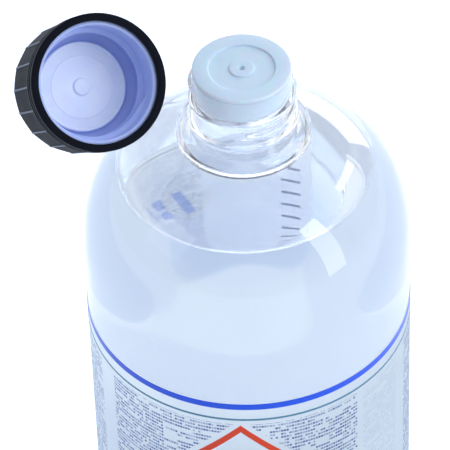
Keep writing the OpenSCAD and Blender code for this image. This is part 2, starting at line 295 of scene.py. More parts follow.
bottle_points, bottle_faces, bottle_rows = turned(bottle_line, COLUMNS, bottle_lift)
wet_row = len(bottle_line) - len(below)
bottle_pick = []
for face, (row, points_of) in enumerate(zip(bottle_rows, bottle_faces)):
    z = sum(bottle_points[p][2] for p in points_of) / len(points_of)
    turn = ((face % COLUMNS + 0.5) * 360 / COLUMNS - LABEL_START_A) % 360
    labelled = row < thread_first and LABEL_BOTTOM < z < LABEL_TOP and turn < LABEL_A
    plugged = row >= len(outside) - 1 and z > PLUG_END_Z
    bottle_pick.append(1 if row >= wet_row else 2 if labelled or plugged else 0)
bottle = piece("clear_bottle", "root", bottle_points, bottle_faces,
               [pet_in_air, pet_in_liquid, glued_pet], bottle_pick)
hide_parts("bottle")

# Isopropyl alcohol: one litre of clear liquid. It wets the wall and climbs it a little, so its
# surface ends in a curved rim. Its sides lie on the wall, whose inner face bends the light.
LIQUID_GAP = 0.05
liquid_line = inside_line(LIQUID_GAP, wet_top)
liquid_sides = len(liquid_line) - 1
rim_r = liquid_line[-1][0]
for step in (0.25, 0.55, 0.9, 1.3, 1.8, 2.4, 3.2, 4.2, 5.5, 7.5):
    liquid_line.append((rim_r - step, LIQUID_Z + MENISCUS_H * math.exp(-step / MENISCUS_W)))
liquid_line += [(r, LIQUID_Z) for r in (16, 8, 0)]
liquid_surface = see_through("isopropyl_alcohol_surface", ALCOHOL_IOR, linear("#FBFCFE"))
liquid_side, side_tree = material("isopropyl_alcohol_on_wall")
side = node(side_tree, "ShaderNodeBsdfTransparent", {"Color": linear("#FCFDFE")})
node(side_tree, "ShaderNodeOutputMaterial", {"Surface": side.outputs[0]})
liquid_points, liquid_faces, liquid_rows = turned(liquid_line, 192)
liquid = piece("alcohol", "root", liquid_points, liquid_faces,
               [liquid_side, liquid_surface], [int(row >= liquid_sides) for row in liquid_rows])
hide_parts("liquid")

# Pour insert: a plug of natural polyethylene, moulded and pressed into the bore. Its flange
# lies on the rim, and a dished floor carries a low spout with the pouring hole.
FLANGE_T = 1.0
SKIRT_H = 7.7
SKIRT_R = 10.87
SKIRT_WALL = 1.0
DISH_R = 8.4
DISH_DEPTH = 0.6
DISH_FLOOR = 1.0
SPOUT_R = 3.2
HOLE_R = 0.6
top = BOTTLE_H + FLANGE_T
insert_line = [(HOLE_R, top - DISH_DEPTH - DISH_FLOOR)]
insert_line += [(r, top - DISH_DEPTH - DISH_FLOOR) for r in (3, 6, SKIRT_R - SKIRT_WALL)]
insert_line += [(SKIRT_R - SKIRT_WALL, BOTTLE_H - z) for z in (3, 5.3, SKIRT_H)]
insert_line += [(SKIRT_R - 0.4, BOTTLE_H - SKIRT_H), (SKIRT_R, BOTTLE_H - SKIRT_H + 1.2)]
insert_line += [(SKIRT_R, BOTTLE_H - z) for z in (5, 3, 1, 0)]
insert_line += [(NECK_R - 0.1, BOTTLE_H)] + arc(NECK_R - 0.3, BOTTLE_H + 0.3, 0.3, -20, 0, 2)
insert_line += arc(NECK_R - 0.35, top - 0.35, 0.35, 0, 90, 5)
insert_line += [(10.6, top)] + arc(DISH_R + 0.3, top - 0.3, 0.3, 90, 180, 5)
insert_line += arc(DISH_R - 0.25, top - DISH_DEPTH + 0.25, 0.25, 0, -90, 4)
insert_line += [(r, top - DISH_DEPTH) for r in (6.6, 5, 4.2)]
insert_line += arc(SPOUT_R + 0.2, top - DISH_DEPTH + 0.2, 0.2, 270, 180, 4)
insert_line += arc(SPOUT_R - 0.3, top - 0.4, 0.3, 0, 90, 4)
insert_line += [(2.0, top - 0.12)] + arc(HOLE_R + 0.5, top - 0.62, 0.5, 90, 180, 4)

# Natural low-density polyethylene is milky and waxy: light goes a little way into it, and its
# moulded face has a soft sheen.
ldpe, ldpe_tree = material("moulded_natural_ldpe")
ldpe_place = node(ldpe_tree, "ShaderNodeTexCoord").outputs["Object"]
ldpe_cloud = node(ldpe_tree, "ShaderNodeTexNoise", {
    "Vector": ldpe_place, "Scale": 1 / (5 * MM), "Detail": 3})
ldpe_colour = node(ldpe_tree, "ShaderNodeMix", {
    "Factor": ldpe_cloud.outputs["Fac"], 6: linear("#C4DFF2"), 7: linear("#D0E8F8")},
    data_type="RGBA")
ldpe_grain = node(ldpe_tree, "ShaderNodeTexNoise", {
    "Vector": ldpe_place, "Scale": 1 / (0.5 * MM), "Detail": 2})
ldpe_bump = node(ldpe_tree, "ShaderNodeBump", {
    "Height": ldpe_grain.outputs["Fac"], "Strength": 0.5, "Distance": 0.01 * MM})
ldpe_skin = node(ldpe_tree, "ShaderNodeBsdfPrincipled", {
    "Base Color": ldpe_colour.outputs[2], "Roughness": 0.38, "IOR": 1.51,
    "Transmission Weight": 0.2, "Subsurface Weight": 0.8, "Subsurface Scale": 2.5 * MM,
    "Normal": ldpe_bump.outputs["Normal"]})
node(ldpe_tree, "ShaderNodeOutputMaterial", {"Surface": ldpe_skin.outputs[0]})
insert_points, insert_faces, _ = turned(insert_line, 128)
insert = piece("pour_plug", "root", insert_points, insert_faces, [ldpe],
               crease=50)
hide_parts("pour_insert")

# Label: a sheet of white polypropylene film, 0.1 mm thick, glued once round the body. Its two
# ends leave a clear strip through which the level is read.
LABEL_IN_R = 42.38
LABEL_R = 42.48
FRONT_A = 270
LABEL_STEPS = 240
LABEL_ROWS = 30
arc_mm = math.radians(1) * BODY_R


def wrapped(u, z, r):
    """A point on the round body, u along the label from its front and z above the foot."""
    a = math.radians(FRONT_A + u / arc_mm)
    return r * math.cos(a), r * math.sin(a), z


def skin(us, zs, r_in, r_out):
    """Points and faces of a thin closed sheet that is wrapped on the body."""
    grid = [(i, j) for i in range(len(zs)) for j in range(len(us))]
    points = [wrapped(us[j], zs[i], r) for r in (r_out, r_in) for i, j in grid]
    n, m, half = len(us), len(zs), len(grid)
    faces = [(i * n + j, i * n + j + 1, (i + 1) * n + j + 1, (i + 1) * n + j)
             for i in range(m - 1) for j in range(n - 1)]
    faces += [tuple(p + half for p in reversed(f)) for f in faces]
    border = ([(0, j) for j in range(n)] + [(i, n - 1) for i in range(1, m)]
              + [(m - 1, j) for j in range(n - 2, -1, -1)] + [(i, 0) for i in range(m - 2, 0, -1)])
    ring = [i * n + j for i, j in border]
    faces += [(b, a, a + half, b + half) for a, b in zip(ring, ring[1:] + ring[:1])]
    return points, faces


label_us = np.linspace((LABEL_START_A - FRONT_A) * arc_mm,
                       (LABEL_START_A + LABEL_A - FRONT_A) * arc_mm, LABEL_STEPS + 1)
label_zs = np.linspace(LABEL_BOTTOM, LABEL_TOP, LABEL_ROWS + 1)
label_points, label_faces = skin(label_us, label_zs, LABEL_IN_R, LABEL_R)
sheet_faces = LABEL_STEPS * LABEL_ROWS


def printed_film(name, inner):
    """White film with small print, and painted shade on its back round a patch of painted light. From
    inside the bottle, only its bolder print shows through.
    """
    made, tree = material(name)
    uv = node(tree, "ShaderNodeUVMap", uv_map="along_label")
    along = node(tree, "ShaderNodeSeparateXYZ", {0: uv.outputs[0]})
    u, z = along.outputs[0], along.outputs[1]

    # Rows of small print: each cell is a letter, and a coarser set of cells leaves gaps between
    # words and ends each row at its own place. The marks say nothing.
    cell = {}
    for key, source, size in (("row", z, ROW_H), ("letter", u, LETTER_W), ("word", u, WORD_W)):
        scaled = node(tree, "ShaderNodeMath", {0: source, 1: size}, operation="DIVIDE")
        cell[key] = node(tree, "ShaderNodeMath", {0: scaled.outputs[0]}, operation="FLOOR")
        cell[key + "_part"] = node(tree, "ShaderNodeMath", {0: scaled.outputs[0]},
                                   operation="FRACT")
    ink = None
    for key, least in (("letter", 0.16), ("word", 0.12)):
        spot = node(tree, "ShaderNodeCombineXYZ", {
            0: cell[key].outputs[0], 1: cell["row"].outputs[0]})
        chance = node(tree, "ShaderNodeTexWhiteNoise", {"Vector": spot.outputs[0]},
                      noise_dimensions="2D")
        there = node(tree, "ShaderNodeMath", {0: chance.outputs["Value"], 1: least},
                     operation="GREATER_THAN")
        if ink is None:
            strength = node(tree, "ShaderNodeMapRange", {
                "Value": chance.outputs["Value"], "From Min": least, "To Min": 0.35})
            ink = node(tree, "ShaderNodeMath", {0: there.outputs[0], 1: strength.outputs[0]},
                       operation="MULTIPLY")
        else:
            ink = node(tree, "ShaderNodeMath", {0: ink.outputs[0], 1: there.outputs[0]},
                       operation="MULTIPLY")
    for key, low, high in (("row", 0.2, 0.74), ("letter", 0.0, 0.82)):
        for bound, how in ((low, "GREATER_THAN"), (high, "LESS_THAN")):
            inside_cell = node(tree, "ShaderNodeMath", {
                0: cell[key + "_part"].outputs[0], 1: bound}, operation=how)
            ink = node(tree, "ShaderNodeMath", {0: ink.outputs[0], 1: inside_cell.outputs[0]},
                       operation="MULTIPLY")

    # Columns of print across the label, as strengths along it
    span = node(tree, "ShaderNodeMapRange", {
        "Value": u, "From Min": label_us[0], "From Max": label_us[-1]})
    ramp = node(tree, "ShaderNodeValToRGB", {0: span.outputs[0]})
    ramp.color_ramp.interpolation = "CONSTANT"
    stops = ramp.color_ramp.elements
    while len(stops) > 1:
        stops.remove(stops[-1])
    stops[0].position, stops[0].color = 0, (0, 0, 0, 1)
    for start, end, strength in PRINT_COLUMNS:
        for at, value in ((start, strength), (end, 0)):
            stop = stops.new((at - label_us[0]) / (label_us[-1] - label_us[0]))
            stop.color = (value, value, value, 1)
    ink = node(tree, "ShaderNodeMath", {0: ink.outputs[0], 1: ramp.outputs[0]},
               operation="MULTIPLY")
    for bound, how in ((PRINT_TOP, "LESS_THAN"), (PRINT_BOTTOM, "GREATER_THAN")):
        inside_print = node(tree, "ShaderNodeMath", {0: z, 1: bound}, operation=how)
        ink = node(tree, "ShaderNodeMath", {0: ink.outputs[0], 1: inside_print.outputs[0]},
                   operation="MULTIPLY")

    # No print inside the red frame or right beside it: u and z are folded onto one corner
    side_u = node(tree, "ShaderNodeMath", {0: u, 1: FRAME_U}, operation="SUBTRACT")
    side_u = node(tree, "ShaderNodeMath", {0: side_u.outputs[0]}, operation="ABSOLUTE")
    side_z = node(tree, "ShaderNodeMath", {0: z, 1: FRAME_TIP_Z - FRAME_H / 2},
                  operation="SUBTRACT")
    side_z = node(tree, "ShaderNodeMath", {0: side_z.outputs[0]}, operation="ABSOLUTE")
    slope = node(tree, "ShaderNodeMath", {0: side_u.outputs[0], 1: side_z.outputs[0]},
                 operation="ADD")
    outside_frame = None
    for source, limit in ((side_u, FRAME_W / 2 + 1.6), (slope, FRAME_H / 2 + 2.2)):
        beyond = node(tree, "ShaderNodeMath", {0: source.outputs[0], 1: limit},
                      operation="GREATER_THAN")
        outside_frame = beyond if outside_frame is None else node(tree, "ShaderNodeMath", {
            0: outside_frame.outputs[0], 1: beyond.outputs[0]}, operation="MAXIMUM")
    ink = node(tree, "ShaderNodeMath", {0: ink.outputs[0], 1: outside_frame.outputs[0]},
               operation="MULTIPLY")

    # Slanting bars stand for headings
    lean = node(tree, "ShaderNodeMath", {0: z, 1: -HEADING_LEAN, 2: u}, operation="MULTIPLY_ADD")
    bars = None
    for left, right, low, high in HEADING_BARS:
        bar = None
        for source, bound, how in ((lean.outputs[0], left, "GREATER_THAN"),
                                   (lean.outputs[0], right, "LESS_THAN"),
                                   (z, low, "GREATER_THAN"), (z, high, "LESS_THAN")):
            test = node(tree, "ShaderNodeMath", {0: source, 1: bound}, operation=how)
            bar = test if bar is None else node(tree, "ShaderNodeMath", {
                0: bar.outputs[0], 1: test.outputs[0]}, operation="MULTIPLY")
        bars = bar if bars is None else node(tree, "ShaderNodeMath", {
            0: bars.outputs[0], 1: bar.outputs[0]}, operation="MAXIMUM")

    # Painted shade: the back is faintly darkened above and below a patch with curved edges, so that
    # the patch stands as painted light, a pool of light focused through the liquid
    across = node(tree, "ShaderNodeMath", {0: u, 1: -LIT_PATCH_U}, operation="ADD")
    across = node(tree, "ShaderNodeMath", {0: across.outputs[0], 1: LIT_PATCH_W / 2},
                  operation="DIVIDE")
    bulge = node(tree, "ShaderNodeMath", {0: across.outputs[0], 1: across.outputs[0]},
                 operation="MULTIPLY")
    painted_shade_mask = None
    steep = node(tree, "ShaderNodeMath", {0: bulge.outputs[0], 1: bulge.outputs[0]},
                 operation="MULTIPLY")
    for edge, curve, power, soft, strength in (
            (LIT_PATCH_TOP, LIT_PATCH_TOP_CURVE, steep, LIT_PATCH_TOP_SOFT, PAINTED_SHADE_STRENGTHS[0]),
            (LIT_PATCH_FOOT, LIT_PATCH_FOOT_CURVE, bulge, -LIT_PATCH_FOOT_SOFT, PAINTED_SHADE_STRENGTHS[1])):
        level = node(tree, "ShaderNodeMath", {0: power.outputs[0], 1: -curve, 2: z},
                     operation="MULTIPLY_ADD")
        beyond = node(tree, "ShaderNodeMapRange", {
            "Value": level.outputs[0], "From Min": edge, "From Max": edge + soft,
            "To Max": strength}, interpolation_type="SMOOTHSTEP")
        painted_shade_mask = beyond if painted_shade_mask is None else node(tree, "ShaderNodeMath", {
            0: painted_shade_mask.outputs[0], 1: beyond.outputs[0]}, operation="MAXIMUM")
    behind = node(tree, "ShaderNodeMapRange", {
        "Value": u, "From Min": PAINTED_SHADE_END, "From Max": PAINTED_SHADE_END - 6})
    painted_shade_mask = node(tree, "ShaderNodeMath", {0: painted_shade_mask.outputs[0], 1: behind.outputs[0]},
                operation="MULTIPLY")

    place = node(tree, "ShaderNodeTexCoord").outputs["Object"]
    cloud = node(tree, "ShaderNodeTexNoise", {
        "Vector": place, "Scale": 1 / (18 * MM), "Detail": 2})
    film = node(tree, "ShaderNodeMix", {
        "Factor": cloud.outputs["Fac"], 6: linear("#ECF2F7"), 7: linear("#F4F8FA")},
        data_type="RGBA")
    print_strength, bar_strength = (0.3, 0.1) if inner else (1, 0.6)
    # The first colour is the painted shade on the back of the label
    for mask, strength, colour in ((painted_shade_mask, 1, "#BCCDE4"), (ink, print_strength, "#4666A6"),
                                   (bars, bar_strength, "#3C7CE0")):
        part = node(tree, "ShaderNodeMath", {0: mask.outputs[0], 1: strength},
                    operation="MULTIPLY")
        film = node(tree, "ShaderNodeMix", {
            "Factor": part.outputs[0], 6: film.outputs[2], 7: linear(colour)},
            data_type="RGBA")
    wrinkle = node(tree, "ShaderNodeTexNoise", {
        "Vector": place, "Scale": 1 / (9 * MM), "Detail": 1})
    bump = node(tree, "ShaderNodeBump", {
        "Height": wrinkle.outputs["Fac"], "Strength": 1, "Distance": 0.03 * MM})
    face = node(tree, "ShaderNodeBsdfPrincipled", {
        "Base Color": film.outputs[2], "Roughness": 0.4, "IOR": 1.49,
        "Normal": bump.outputs["Normal"]})
    lit_through = node(tree, "ShaderNodeBsdfTranslucent", {"Color": film.outputs[2]})
    mixed = node(tree, "ShaderNodeMixShader", {
        0: FILM_THROUGH, 1: face.outputs[0], 2: lit_through.outputs[0]})
    node(tree, "ShaderNodeOutputMaterial", {"Surface": mixed.outputs[0]})
    return made


# White polypropylene film is satin, thin and milky, and most light goes through it. The print
# is blue and grey ink, and its letters are drawn 0.7 mm wide, as wide as they need to show.
ROW_H = 1.2
LETTER_W = 0.72
WORD_W = 4.1
PRINT_TOP = 138.4
PRINT_BOTTOM = 29
FRAME_U = (265.7 - FRONT_A) * arc_mm
FRAME_TIP_Z = 138.0
FRAME_W = 34
FRAME_H = 58
FILM_THROUGH = 0.8
PRINT_COLUMNS = ((-122, -98, 0.7), (-92, -50, 0.8), (-43, -4.2, 1.0), (-0.5, 29.3, 1.0),
                 (30.5, 46, 0.2), (52, 90, 0.8))
HEADING_LEAN = 0.28
HEADING_BARS = ((-146.3, -143.3, 97, 113), (-139.6, -136.2, 106, 113), (-139.6, -136.2, 98, 103.5),
                (-133.1, -131.9, 97, 113))
# Painted shade on the back of the label, round a lens-shaped patch left as painted light
LIT_PATCH_U = -132.7
LIT_PATCH_W = 13
LIT_PATCH_TOP = 116.4
LIT_PATCH_TOP_CURVE = 1.8
LIT_PATCH_TOP_SOFT = 0.3
LIT_PATCH_FOOT = 111.2
LIT_PATCH_FOOT_CURVE = 8.8
LIT_PATCH_FOOT_SOFT = 0.8
PAINTED_SHADE_STRENGTHS = (0.3, 0.15)
PAINTED_SHADE_END = -100
film_outside = printed_film("printed_white_film", False)
film_inside = printed_film("printed_white_film_back", True)
label_pick = [0] * sheet_faces + [1] * sheet_faces
label_pick += [0] * (len(label_faces) - len(label_pick))
label = piece("wrapped_label", "root", label_points, label_faces,
              [film_outside, film_inside], label_pick, crease=60)
along_label = label.data.uv_layers.new(name="along_label")
for loop in label.data.loops:
    x, y, z = label.data.vertices[loop.vertex_index].co / MM
    turn = (math.degrees(math.atan2(y, x)) - LABEL_START_A + 0.5) % 360 + LABEL_START_A - 0.5
    along_label.data[loop.index].uv = ((turn - FRONT_A) * arc_mm, z)
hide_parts("label")

# Printed lines: a broad blue line and a fine teal one follow the label's upper edge. They are
# screen-printed, so the ink lies on the film as a raised, glossier skin.
INK_R = 42.55
BLUE_Z = 145.0
BLUE_W = 2.0
TEAL_Z = 140.2
TEAL_W = 0.6


def printed_ink(name, code, deep, cover=1):
    """Screen ink: a strong colour with a slight mottle, glossier than the film, and its cover."""
    made, tree = material(name)
    place = node(tree, "ShaderNodeTexCoord").outputs["Object"]
    mottle = node(tree, "ShaderNodeTexNoise", {
        "Vector": place, "Scale": 1 / (0.8 * MM), "Detail": 2})
    colour = node(tree, "ShaderNodeMix", {
        "Factor": mottle.outputs["Fac"], 6: linear(deep), 7: linear(code)},
        data_type="RGBA")
    ink = node(tree, "ShaderNodeBsdfPrincipled", {
        "Base Color": colour.outputs[2], "Roughness": 0.28, "IOR": 1.5,
        "Specular IOR Level": 0.25, "Alpha": cover})
    node(tree, "ShaderNodeOutputMaterial", {"Surface": ink.outputs[0]})
    return made


for name, node_name, slot, middle, width, code, deep in (
        ("blue_line", "label_blue_line", "blue_ink", BLUE_Z, BLUE_W, "#0450E0", "#0244CE"),
        ("teal_line", "label_teal_line", "teal_ink", TEAL_Z, TEAL_W, "#46829F", "#3B7590")):
    line_points, line_faces = skin(
        label_us, (middle - width / 2, middle + width / 2), LABEL_R, INK_R)
    line = piece(name, "root", line_points, line_faces,
                 [printed_ink("screen_ink_" + slot, code, deep)], crease=40)
    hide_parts(node_name)

# Red frame: the outline of a long six-sided panel on the front, screen-printed like the lines.
# The panel inside it is left bare.
FRAME_LINE_W = 1.75
FRAME_STEPS = 24


def frame_corners(w, h, drop):
    """The six corners of the frame's outline, as places along the label and heights."""
    corners = ((0, 0), (w / 2, -w / 2), (w / 2, w / 2 - h), (0, -h), (-w / 2, w / 2 - h),
               (-w / 2, -w / 2))
    return [Vector((FRAME_U + u, FRAME_TIP_Z - drop + z)) for u, z in corners]


inset = FRAME_LINE_W * math.sqrt(2)
outer_corners = frame_corners(FRAME_W, FRAME_H, 0)
inner_corners = frame_corners(FRAME_W - 2 * FRAME_LINE_W, FRAME_H - 2 * inset, inset)
frame_points, frame_faces = [], []
for r in (INK_R, LABEL_R):
    for corners in (outer_corners, inner_corners):
        for a, b in zip(corners, corners[1:] + corners[:1]):
            frame_points += [wrapped(*a.lerp(b, i / FRAME_STEPS), r) for i in range(FRAME_STEPS)]
around = 6 * FRAME_STEPS
for i in range(around):
    k = (i + 1) % around
    for a, b in ((0, 1), (1, 3), (3, 2), (2, 0)):
        frame_faces.append((a * around + i, a * around + k, b * around + k, b * around + i))
red_frame = piece("red_frame", "root", frame_points, frame_faces,
                  [printed_ink("screen_ink_red", "#D23A04", "#C23000")], crease=40)
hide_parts("label_red_frame")

# Level scale: thirteen short marks printed beside the clear strip, one every 7.6 mm.
TICK_TOP_Z = 121.2
TICK_GAP = 7.6
TICK_COUNT = 13
TICK_LEN = 5.4
TICK_W = 1.4
TICK_START_U = label_us[0] + 3.7


def repeater():
    """A node tree that repeats its mesh, each copy turned and raised by a step."""
    tree = bpy.data.node_groups.new("repeated_in_steps", "GeometryNodeTree")
    for name, kind in (("Mesh", "NodeSocketGeometry"), ("Count", "NodeSocketInt"),
                       ("Turn", "NodeSocketFloat"), ("Rise", "NodeSocketFloat"),
                       ("Finish", "NodeSocketMaterial")):
        tree.interface.new_socket(name, in_out="INPUT", socket_type=kind)
    tree.interface.new_socket("Mesh", in_out="OUTPUT", socket_type="NodeSocketGeometry")
    given = node(tree, "NodeGroupInput").outputs
    index = node(tree, "GeometryNodeInputIndex").outputs[0]
    steps = {}
    for key in ("Turn", "Rise"):
        amount = node(tree, "ShaderNodeMath", {0: index, 1: given[key]}, operation="MULTIPLY")
        steps[key] = node(tree, "ShaderNodeCombineXYZ", {2: amount.outputs[0]}).outputs[0]
    spots = node(tree, "GeometryNodePoints", {
        "Count": given["Count"], "Position": steps["Rise"]})
    copies = node(tree, "GeometryNodeInstanceOnPoints", {
        "Points": spots.outputs[0], "Instance": given["Mesh"], "Rotation": steps["Turn"]})
    real = node(tree, "GeometryNodeRealizeInstances", {0: copies.outputs[0]})
    finished = node(tree, "GeometryNodeSetMaterial", {
        "Geometry": real.outputs[0], "Material": given["Finish"]})
    node(tree, "NodeGroupOutput", {0: finished.outputs[0]})
    return tree


repeated_in_steps = repeater()


def repeated(points, faces, count, turn, rise, finish):
    """The plain mesh of count copies of a small closed solid."""
    mesh = bpy.data.meshes.new("one_of_many")
    mesh.from_pydata([tuple(c * MM for c in p) for p in points], [], faces)
    form = bmesh.new()
    form.from_mesh(mesh)
    bmesh.ops.recalc_face_normals(form, faces=form.faces)
    form.to_mesh(mesh)
    form.free()
    carrier = bpy.data.objects.new("one_of_many", mesh)
    bpy.context.scene.collection.objects.link(carrier)
    nodes = carrier.modifiers.new("repeated", "NODES")
    nodes.node_group = repeated_in_steps
    values = {"Count": count, "Turn": turn, "Rise": rise, "Finish": finish}
    for item in repeated_in_steps.interface.items_tree:
        if item.in_out == "INPUT" and item.name in values:
            nodes[item.identifier] = values[item.name]
    seen = carrier.evaluated_get(bpy.context.evaluated_depsgraph_get())
    made = bpy.data.meshes.new_from_object(seen)
    carrier.modifiers.remove(nodes)
    bpy.data.objects.remove(carrier)
    return made


def placed(name, mesh, body):
    """A finished mesh as a piece that rides on a CAD body."""
    made = bpy.data.objects.new(name, mesh)
    bpy.context.scene.collection.objects.link(made)
    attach(made, body)
    return made


tick_points, tick_faces = skin(
    np.linspace(TICK_START_U, TICK_START_U + TICK_LEN, 7),
    (TICK_TOP_Z - TICK_W / 2, TICK_TOP_Z + TICK_W / 2), LABEL_R, INK_R)
ticks = placed("level_scale", repeated(
    tick_points, tick_faces, TICK_COUNT, 0.0, -TICK_GAP * MM,
    printed_ink("screen_ink_scale", "#24509E", "#1C448E", 0.75)), "root")
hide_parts("label_scale")

# Inner cap: natural polypropylene, moulded with the thread that screws on the neck. It sits
# loose inside the outer shell, and eight lugs on its top take the turn when the shell is pressed.
CAP_AT = Vector((-34.7, -20.6, 239.5)) * MM
CAP_ELEVATION = 43.6
CAP_AZIMUTH = 24.6
CAP_SPIN = -5
INNER_RIM_Z = 1.7
INNER_R = 14.1
INNER_OUT_R = 15.4
INNER_THREAD_H = 1.25
CEILING_Z = 16.0
INNER_TOP_Z = 17.1
INNER_TURNS = 1.5
SEAL_R = 10.8
SEAL_H = 0.4
MARK_R = 7.8
NUB_R = 2.1
NUB_H = 0.3
MOAT_H = 0.25
LUG_COUNT = 8
LUG_IN_R = 6
LUG_OUT_R = 13.9
LUG_W = 1.6
LUG_H = 1.2
CAP_COLUMNS = 192
held_cap = (Matrix.Translation(CAP_AT) @ Matrix.Rotation(math.radians(CAP_AZIMUTH), 4, "Z")
            @ Matrix.Rotation(math.radians(-90 - CAP_ELEVATION), 4, "X")
            @ Matrix.Rotation(math.radians(CAP_SPIN), 4, "Z"))

# The line runs from the middle of the ceiling down the inside, round the rim and up the outside
inner_line = [(0, CEILING_Z - NUB_H), (1.2, CEILING_Z - NUB_H)]
inner_line += arc(NUB_R - 0.3, CEILING_Z - NUB_H + 0.3, 0.3, -90, 0, 4)
inner_line += [(NUB_R + 0.05, CEILING_Z + MOAT_H - 0.1), (NUB_R + 0.3, CEILING_Z + MOAT_H),
               (NUB_R + 0.8, CEILING_Z + 0.1), (NUB_R + 1.4, CEILING_Z)]
inner_line += [(r, CEILING_Z) for r in (4.5, 6, MARK_R - 0.3)]
inner_line += [(MARK_R - 0.1, CEILING_Z - 0.03), (MARK_R, CEILING_Z - 0.12),
               (MARK_R + 0.1, CEILING_Z - 0.03), (MARK_R + 0.3, CEILING_Z)]
inner_line += [(9, CEILING_Z), (10, CEILING_Z)]
inner_line += arc(SEAL_R, CEILING_Z, SEAL_H, 180, 360, 8)
inner_line += [(r, CEILING_Z + h) for r, h in (
    (11.25, 0.1), (11.4, 0.45), (11.8, 0.6), (12.8, 0.6), (13.3, 0.4), (13.7, 0), (13.95, -0.6))]
wall_first = len(inner_line)
wall_rows = np.linspace(CEILING_Z - 1.5, INNER_RIM_Z + 0.4, 70)
inner_line += [(INNER_R, z) for z in wall_rows]
inner_line += [(INNER_R + 0.1, INNER_RIM_Z + 0.1), (INNER_R + 0.25, INNER_RIM_Z),
               (INNER_OUT_R - 0.4, INNER_RIM_Z), (INNER_OUT_R, INNER_RIM_Z + 0.4),
               (INNER_OUT_R, INNER_TOP_Z - 1), (INNER_OUT_R - 0.3, INNER_TOP_Z - 0.3),
               (INNER_OUT_R - 1, INNER_TOP_Z), (7, INNER_TOP_Z), (0, INNER_TOP_Z)]
inner_lift = np.zeros((len(inner_line), CAP_COLUMNS))
inner_lift[wall_first:wall_first + len(wall_rows)] = -thread(
    wall_rows, CAP_COLUMNS, CEILING_Z - 3, INNER_TURNS, INNER_THREAD_H)


def natural_pp(name, deep, pale, smooth, rough):
    """Whitish, cloudy polypropylene that leans to blue violet, between two colours and finishes."""
    made, tree = material(name)
    place = node(tree, "ShaderNodeTexCoord").outputs["Object"]
    cloud = node(tree, "ShaderNodeTexNoise", {
        "Vector": place, "Scale": 1 / (6 * MM), "Detail": 3})
    colour = node(tree, "ShaderNodeMix", {
        "Factor": cloud.outputs["Fac"], 6: linear(deep), 7: linear(pale)}, data_type="RGBA")
    speck = node(tree, "ShaderNodeTexNoise", {
        "Vector": place, "Scale": 1 / (0.6 * MM), "Detail": 3})
    bump = node(tree, "ShaderNodeBump", {
        "Height": speck.outputs["Fac"], "Strength": 0.6, "Distance": 0.03 * MM})
    finish = node(tree, "ShaderNodeMapRange", {
        "Value": cloud.outputs["Fac"], "To Min": smooth, "To Max": rough})
    moulded = node(tree, "ShaderNodeBsdfPrincipled", {
        "Base Color": colour.outputs[2], "Roughness": finish.outputs[0], "IOR": 1.49,
        "Subsurface Weight": 0.2, "Subsurface Scale": 1 * MM, "Normal": bump.outputs["Normal"]})
    node(tree, "ShaderNodeOutputMaterial", {"Surface": moulded.outputs[0]})
    return made


# The wall's deeper blue is painted shade and keeps its moulded sheen. The ceiling's paler colour is
# painted light, where light from the right falls into the cap, and it is given a matter finish.
painted_shade_pp = natural_pp("natural_pp_painted_shade", "#98ABE3", "#ADBDED", 0.28, 0.5)
lit_ceiling_pp = natural_pp("natural_pp_painted_light", "#D0DEF9", "#E8F0FC", 0.45, 0.65)


def block(x0, x1, y0, y1, z0, z1):
    """Points and faces of a small block, given by its sides."""
    points = [(x, y, z) for x in (x0, x1) for y in (y0, y1) for z in (z0, z1)]
    return points, [(0, 1, 3, 2), (4, 6, 7, 5), (0, 4, 5, 1), (2, 3, 7, 6), (0, 2, 6, 4),
                    (1, 5, 7, 3)]


def joined(made, extra):
    """Adds a mesh of one material, drawn upright, to a cap's piece."""
    extra.transform(held_cap)
    finish = extra.materials[-1]
    if finish not in made.data.materials[:]:
        made.data.materials.append(finish)
    which = made.data.materials[:].index(finish)
    extra.polygons.foreach_set("material_index", [which] * len(extra.polygons))
    form = bmesh.new()
    form.from_mesh(made.data)
    form.from_mesh(extra)
    form.to_mesh(made.data)
    form.free()


inner_points, inner_faces, inner_rows = turned(inner_line, CAP_COLUMNS, inner_lift)
# The ceiling, out to the seal ring, takes the painted light colour, and the wall takes the painted
# shade colour
lit_ceiling_end = next(i for i, (r, _) in enumerate(inner_line) if r > SEAL_R + SEAL_H)
inner_cap = piece("inner_cap_liner", "inner_cap", inner_points, inner_faces,
                  [painted_shade_pp, lit_ceiling_pp], [int(row < lit_ceiling_end) for row in inner_rows], crease=60,
                  place=held_cap)
joined(inner_cap, repeated(
    *block(LUG_IN_R, LUG_OUT_R, -LUG_W / 2, LUG_W / 2, INNER_TOP_Z - 0.1, INNER_TOP_Z + LUG_H - 0.1),
    LUG_COUNT, 2 * math.pi / LUG_COUNT, 0.0, painted_shade_pp))
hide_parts("inner_cap")

# Outer shell: black polypropylene, moulded. It turns freely round the inner cap until it is
# pressed down. A smooth band with two fine grooves ends at the rim, and eighteen ribs with
# flats between them give the grip.
SHELL_R = 17.0
SHELL_TOP_R = 16.4
SHELL_H = 21.0
SHELL_IN_R = 15.7
SHELL_CEILING_Z = 19.8
BAND_H = 4.5
CATCH_R = 15.1
CATCH_H = 1.4
RIB_COUNT = 18
RIB_W = 0.5
RIB_H = 0.15
SHELL_COLUMNS = RIB_COUNT * 12
shell_line = [(CATCH_R + 0.35, 0.02), (CATCH_R + 0.7, 0), (SHELL_R - 0.5, 0)]
shell_line += arc(SHELL_R - 0.4, 0.4, 0.4, -70, 0, 4)
for groove in (1.8, 3.4):
    shell_line += [(SHELL_R, groove - 0.35), (SHELL_R - 0.08, groove - 0.22),
                   (SHELL_R - 0.25, groove - 0.12), (SHELL_R - 0.25, groove + 0.12),
                   (SHELL_R - 0.08, groove + 0.22), (SHELL_R, groove + 0.35)]
shell_line += [(SHELL_R, BAND_H - 0.15), (SHELL_R - 0.08, BAND_H)]
side_first = len(shell_line)
